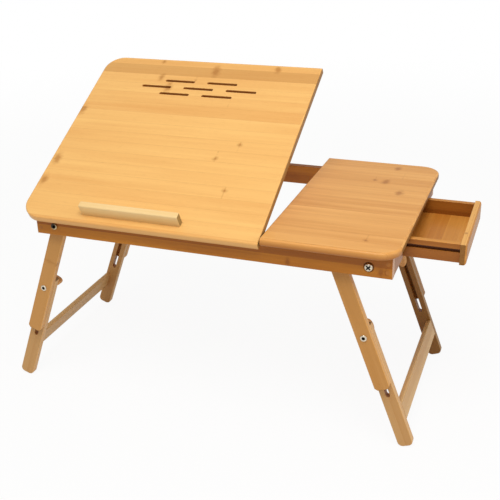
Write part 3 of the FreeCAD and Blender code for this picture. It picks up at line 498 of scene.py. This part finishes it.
SPLAY = math.radians(20.5)
PIVOT_DROP = 27                       # millimetres, as are the pivots, reaches and places along y
PIVOTS = {"left": (46.478, -1), "right": (461.0, 1)}      # place along x, and which way it splays
UPPER_MIDDLE, LOWER_MIDDLE = 96, 206  # pivot to the middle of each leg
UPPER_HALF, LOWER_HALF = 107 * MM, 97 * MM
LEG_PLACES = (("front", 33.5, 44.8), ("back", 316.5, 305.2))
LEG_STRIP = 5.5 * MM
DARK_LEG_KEEP = 0.5
UPPER_WARM = paint(234, 179, 106)
UPPER_DEEP = paint(206, 147, 74)
LOWER_WARM = paint(228, 186, 126)
LOWER_DEEP = paint(210, 158, 96)
# painted shade for the walls of the slots in the lower legs
LOWER_HOLLOW_SHADE = paint(176, 112, 48)
LEG_SLOT = ((-0.089, -0.0045, -0.0034), (0.017, 0.0045, 0.0034))  # round the slot's walls
CROSSBAR_WARM = paint(222, 182, 124)
CROSSBAR_DEEP = paint(198, 150, 90)


def on_leg(side, reach, y):
    """A point so far down a leg from its pivot."""
    pivot, outward = PIVOTS[side]
    x = pivot + outward * reach * math.sin(SPLAY)
    return origin + Vector((x, y, -PIVOT_DROP - reach * math.cos(SPLAY))) * MM


number = 50
for side in ("left", "right"):
    lean = -90 + PIVOTS[side][1] * math.degrees(SPLAY)
    for place, upper_y, lower_y in LEG_PLACES:
        number += 1
        keep = DARK_LEG_KEEP if (side, place) == ("right", "back") else 1.0
        finish_node(f"{side}_upper_leg_{place}", pressed_bamboo(
            f"{side}_upper_leg_{place}_bamboo", browner(UPPER_WARM, keep), browner(UPPER_DEEP, keep),
            on_leg(side, UPPER_MIDDLE, upper_y), turn=(0, lean, 0), strip=LEG_STRIP, ply=30 * MM,
            ply_at=-15 * MM, half_length=UPPER_HALF, seed=float(number), joint_gap=0.33, contrast=0.6))
        finish_node(f"{side}_lower_leg_{place}", pressed_bamboo(
            f"{side}_lower_leg_{place}_bamboo", browner(LOWER_WARM, keep), browner(LOWER_DEEP, keep),
            on_leg(side, LOWER_MIDDLE, lower_y), turn=(0, lean, 0), strip=LEG_STRIP, ply=11 * MM,
            half_length=LOWER_HALF, seed=float(number) + 0.5, joint_gap=0.35, contrast=0.7,
            hollows=(LEG_SLOT,), hollow_shade=LOWER_HOLLOW_SHADE))
    crossbar = f"{side}_crossbar"
    finish_node(crossbar, pressed_bamboo(
        crossbar + "_bamboo", CROSSBAR_WARM, CROSSBAR_DEEP, middle(crossbar), turn=CROSSWISE,
        strip=30 * MM, ply=13 * MM, half_length=half(crossbar, "y"), seed=float(number) + 8,
        contrast=0.6, joints=0.4))

# ---- Knobs ----
# Four oval wooden knobs with a threaded bore, one on the clamp bolt of each leg. Turned by hand,
# they clamp the lower legs.

KNOB_WARM = paint(226, 172, 108)
KNOB_DEEP = paint(192, 132, 70)
KNOB_SEEDS = {"left": 72.0, "right": 70.0}
for side, seed in KNOB_SEEDS.items():
    for number, place in enumerate(("front", "back")):
        knob = f"{side}_knob_{place}"
        finish_node(knob, pressed_bamboo(
            knob + "_wood", KNOB_WARM, KNOB_DEEP, middle(knob), strip=9 * MM, ply=9 * MM,
            seed=seed + number, joints=0.3, contrast=0.8))

# ---- Dowels ----
# Wooden dowels that pin the end boards to the rails, cut flush and varnished with them; their ends
# show on the outside.

DOWEL_WARM = paint(184, 116, 42)
DOWEL_DEEP = paint(154, 88, 24)
finish_node("frame_dowels", pressed_bamboo(
    "frame_dowel_wood", DOWEL_WARM, DOWEL_DEEP, (0, 0, 0), turn=CROSSWISE, strip=30 * MM,
    ply=30 * MM, seed=80.0, contrast=0.8, joints=0.0))

# ---- Steel fittings ----
# Nickel-plated bolts and block screws, and zinc-plated nuts, inserts, washers, hinges and pins. The
# plating has fine brushed scratches and a few dull spots. The driver sockets, and a patch on each left
# pivot bolt's head, are painted dark and dull: painted shade.

SCRATCH_WAVES = (900, 9000, 9000)
SPOT_WAVES = (420, 420, 420)
SPOT_FADE = (0.52, 0.72)
SPOT_COVER = 0.6
SPOT_KEEP = (0.72, 0.72, 0.72)
# the painted shade on the patches of the pivot bolts' heads
SHADE_PATCH_COVER = 0.92
SHADE_PATCH_EDGE = 0.5 * MM
# the colour of the painted shade in the sockets and the patches
STEEL_SHADE = paint(26, 17, 10)
SCRATCH_ROUGHNESS, SPOT_ROUGHNESS, STEEL_SHADE_ROUGHNESS = 0.12, 0.08, 0.4    # added by each
SCRATCH_STRENGTH, SCRATCH_HEIGHT = 0.08, 0.1 * MM
STAND_DEPTH = 350                     # millimetres, as are the sizes of the sockets


def plated_steel(name, colour, roughness, sockets=(), shade_patches=()):
    """Plating. sockets are boxes round the driver sockets, and the last argument lists round patches on
    the heads, a centre and a radius; in both the steel is painted dark and dull: painted shade."""
    material = bpy.data.materials.new(name)
    start = bare_nodes(material)
    place = start.node("TexCoord", {}, {}, "Object")
    scratches = noise(place, SCRATCH_WAVES, 3.0, 0.7)
    spots = span(noise(place, SPOT_WAVES, 2.0), *SPOT_FADE)
    # where the painted shade lies
    shade_mask = 0.0
    for low, high in sockets:
        shade_mask = start.math("MAXIMUM", shade_mask, inside(place, low, high))
    for centre, radius in shade_patches:
        past = vector(start, "DISTANCE", place, centre, "Value")
        patch = (1 - span(past, radius - SHADE_PATCH_EDGE, radius)) * SHADE_PATCH_COVER
        shade_mask = start.math("MAXIMUM", shade_mask, patch)
    plate = blended(start, spots * SPOT_COVER, colour, toned(colour, SPOT_KEEP))
    bump = start.node("Bump", {}, {"Strength": SCRATCH_STRENGTH, "Distance": SCRATCH_HEIGHT,
                                   "Height": scratches}, "Normal")
    rough = (scratches - 0.5) * SCRATCH_ROUGHNESS + spots * SPOT_ROUGHNESS + shade_mask * STEEL_SHADE_ROUGHNESS
    shader = start.node("BsdfPrincipled", {}, {
        "Base Color": blended(start, shade_mask, plate, STEEL_SHADE),
        "Metallic": 1 - shade_mask,
        "Roughness": rough + roughness,
        "Normal": bump,
    })
    start.node("OutputMaterial", {}, {"Surface": shader})
    return material


def both_sockets(centre, half_width, face, depth):
    """Boxes round a front socket and its twin at the back, from just inside the head's face."""
    boxes = []
    for near, far in ((face, face + depth), (STAND_DEPTH - face - depth, STAND_DEPTH - face)):
        boxes.append(((centre.x - half_width * MM, origin.y + near * MM, centre.z - half_width * MM),
                      (centre.x + half_width * MM, origin.y + far * MM, centre.z + half_width * MM)))
    return boxes


HEX_HALF, HEX_DEPTH = 2.9, 3.6
CROSS_HALF, CROSS_DEPTH = 3.3, 1.4
CLAMP_REACH, CLAMP_FACE = 121, 26.5
PIVOT_FACE = 11.8
SCREW_FACE = 11.4
SCREW_PLACE = Vector((510, 0, -PIVOT_DROP))
LEFT_CLAMP = both_sockets(on_leg("left", CLAMP_REACH, 0), HEX_HALF, CLAMP_FACE, HEX_DEPTH)
RIGHT_CLAMP = both_sockets(on_leg("right", CLAMP_REACH, 0), HEX_HALF, CLAMP_FACE, HEX_DEPTH)
PIVOT_SOCKET = both_sockets(on_leg("left", 0, 0), HEX_HALF, PIVOT_FACE, HEX_DEPTH)
CROSS_SOCKET = both_sockets(origin + SCREW_PLACE * MM, CROSS_HALF, SCREW_FACE, CROSS_DEPTH)
PATCH_OFFSET = Vector((-0.9, 0, 0.9))     # from the middle of a pivot bolt's head, up and left, to the painted shade
PATCH_RADIUS = 4.4 * MM
PATCH_FACES = (11.5, 338.5)               # the front and back heads, from the tops' front edge
PIVOT_PATCH = on_leg("left", 0, 0) + PATCH_OFFSET * MM
PIVOT_SHADE_PATCHES = [((PIVOT_PATCH.x, origin.y + y * MM, PIVOT_PATCH.z), PATCH_RADIUS) for y in PATCH_FACES]

NICKEL = paint(222, 212, 192)
NICKEL_ROUGHNESS = 0.22
# the left pivot bolts' nickel, darker and warmer; the darkness is painted shade
SHADED_NICKEL = paint(196, 176, 138)
SHADED_NICKEL_ROUGHNESS = 0.24
ZINC = paint(176, 172, 160)
ZINC_ROUGHNESS = 0.34
for piece, sockets in (("left_clamp_bolts", LEFT_CLAMP), ("right_clamp_bolts", RIGHT_CLAMP),
                       ("stop_block_screws", CROSS_SOCKET), ("right_pivot_bolts", ())):
    finish_node(piece, plated_steel(piece + "_plate", NICKEL, NICKEL_ROUGHNESS, sockets))
finish_node("left_pivot_bolts", plated_steel(
    "left_pivot_bolts_plate", SHADED_NICKEL, SHADED_NICKEL_ROUGHNESS, PIVOT_SOCKET, PIVOT_SHADE_PATCHES))
zinc_plate = plated_steel("zinc_plate", ZINC, ZINC_ROUGHNESS)
for piece in ("left_pivot_nuts", "right_pivot_inserts", "pivot_washers", "hinge_frame_leaves",
              "hinge_frame_screws", "hinge_pins", "hinge_top_leaves", "hinge_top_screws",
              "prop_pivot_pins"):
    finish_node(piece, zinc_plate)

# ---- Floor and light ----
# A plain pale floor that keeps a soft shadow and fades to white away from the stand, a white
# surround, and two large soft lamps.

FLOOR_SIZE = 30
FLOOR_DROP = 0.4 * MM                 # below the feet, so that the two faces don't meet
FLOOR_PAINT = paint(238, 236, 232)
FADE_START, FADE_END = 0.8, 2.6       # metres from the middle of the stand
WHITE_NEAR = 0.92                     # share of plain white the camera sees under the stand
WHITE_MIRRORED = 0.5                  # share that polished metal mirrors
WHITE = (1, 1, 1, 1)
DOME_STRENGTH = 0.5

bpy.ops.object.select_all(action="DESELECT")
bpy.ops.mesh.primitive_plane_add(size=FLOOR_SIZE, location=(0, 0, -FLOOR_DROP))
floor = bpy.context.object
floor.name = "floor"
paper = bpy.data.materials.new("floor_paper")
start = bare_nodes(paper)
seen = start.node("LightPath", {}, {}, "Is Camera Ray")
mirrored = start.node("LightPath", {}, {}, "Is Glossy Ray")
matt = start.node("BsdfDiffuse", {}, {"Color": FLOOR_PAINT})
white = start.node("Emission", {}, {"Color": WHITE, "Strength": 1.0})
place = start.node("TexCoord", {}, {}, "Object")
away = span(vector(start, "LENGTH", place, out="Value"), FADE_START, FADE_END)
showing = start.math("MAXIMUM", seen * (away * (1 - WHITE_NEAR) + WHITE_NEAR), mirrored * WHITE_MIRRORED)
mixed = start.node("MixShader", {}, {0: showing, 1: matt, 2: white})
start.node("OutputMaterial", {}, {"Surface": mixed})
floor.data.materials.append(paper)

world = bpy.data.worlds.new("studio")
bpy.context.scene.world = world
start = bare_nodes(world)
seen = start.node("LightPath", {}, {}, "Is Camera Ray")
dome = start.node("Background", {}, {"Color": WHITE, "Strength": DOME_STRENGTH})
white = start.node("Background", {}, {"Color": WHITE, "Strength": 1.0})
mixed = start.node("MixShader", {}, {0: seen, 1: dome, 2: white})
start.node("OutputWorld", {}, {"Surface": mixed})

LAMP_SIZE = 1.2
LAMP_AIM = Vector((0, 0, 0.2))


def lamp(name, place, power):
    """A round soft lamp that points at the middle of the stand."""
    bpy.ops.object.light_add(type="AREA", location=place)
    made = bpy.context.object
    made.name = name
    made.data.shape = "DISK"
    made.data.size = LAMP_SIZE
    made.data.energy = power
    made.rotation_euler = (LAMP_AIM - Vector(place)).to_track_quat("-Z", "Y").to_euler()


lamp("front_top_lamp", (0.25, -0.95, 1.85), 21)
lamp("right_lamp", (2.2, -0.5, 1.2), 8)

# ---- Camera ----
# A long lens from the front right, looking down on the tops. Focal length and the lens's middle are in
# pixels of a square frame, the turns in radians, and the eye in millimetres from the tops' corner.

FRAME_SIZE = 500
SENSOR = 36
FOCAL = 860.636
YAW, PITCH, ROLL = -0.359, 0.411, -0.025
LENS_MIDDLE = (251.208, 237.197)
EYE = Vector((718.604, -966.288, 450.732))
forward = Vector((math.sin(YAW) * math.cos(PITCH), math.cos(YAW) * math.cos(PITCH), -math.sin(PITCH)))
level = Vector((math.cos(YAW), -math.sin(YAW), 0))
upright = level.cross(forward)
frame_right = math.cos(ROLL) * level + math.sin(ROLL) * upright
frame_up = -math.sin(ROLL) * level + math.cos(ROLL) * upright
bpy.ops.object.camera_add()
camera = bpy.context.object
camera.data.sensor_width = SENSOR
camera.data.lens = FOCAL / FRAME_SIZE * SENSOR
camera.data.shift_x = (FRAME_SIZE / 2 - LENS_MIDDLE[0]) / FRAME_SIZE
camera.data.shift_y = (LENS_MIDDLE[1] - FRAME_SIZE / 2) / FRAME_SIZE
camera.data.clip_end = 100
axes = Matrix((frame_right, frame_up, -forward)).transposed().to_4x4()
camera.matrix_world = Matrix.Translation(origin + EYE * MM) @ axes
bpy.context.scene.camera = camera
bpy.context.scene.view_settings.view_transform = "Standard"
